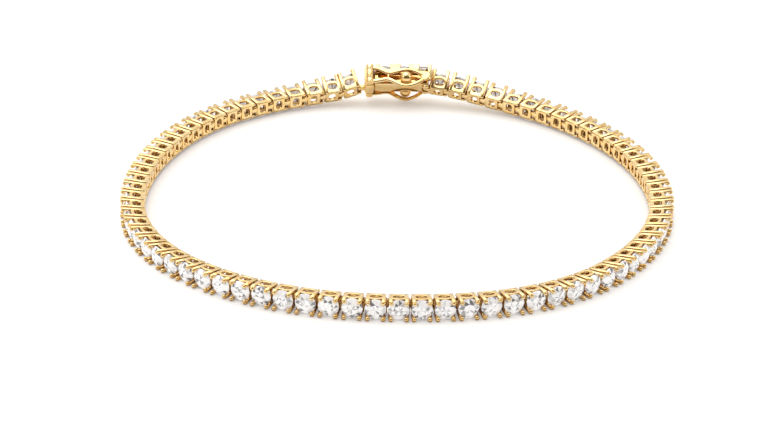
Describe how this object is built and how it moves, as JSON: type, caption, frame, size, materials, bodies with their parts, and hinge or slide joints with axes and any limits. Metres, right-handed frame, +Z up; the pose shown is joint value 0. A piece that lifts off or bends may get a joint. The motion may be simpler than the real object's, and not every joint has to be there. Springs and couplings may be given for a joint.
{
  "type": "tennis bracelet",
  "caption": "Closed row of hinged box-set round stones with a box clasp and two figure-eight safety catches, lying on its edge.",
  "frame": {"origin": "middle of the bracelet's box in plan, on the surface that it lies on", "axes": "+Z up from the surface, +Y towards the clasp, +X to the right of someone facing the clasp"},
  "size_m": [0.0604, 0.0619, 0.005],
  "materials": {
    "set_gold": "polished",
    "gold": "polished"
  },
  "bodies": {
    "bracelet": {"chain_left": "set_gold", "chain_right": "set_gold", "clasp_box": "set_gold", "clasp_tongue": "gold"},
    "upper_catch": {"upper_catch": "gold"},
    "lower_catch": {"lower_catch": "gold"}
  },
  "joints": [
    {"name": "upper_catch_hinge", "type": "hinge", "parent": "bracelet", "child": "upper_catch", "pos_m": [-0.00348, 0.02776, 0.00388], "axis": [0.0299, -0.7874, -0.6157], "range_deg": [0, 100]},
    {"name": "lower_catch_hinge", "type": "hinge", "parent": "bracelet", "child": "lower_catch", "pos_m": [-0.00355, 0.0295, 0.00164], "axis": [-0.0299, 0.7874, 0.6157], "range_deg": [0, 100]}
  ]
}
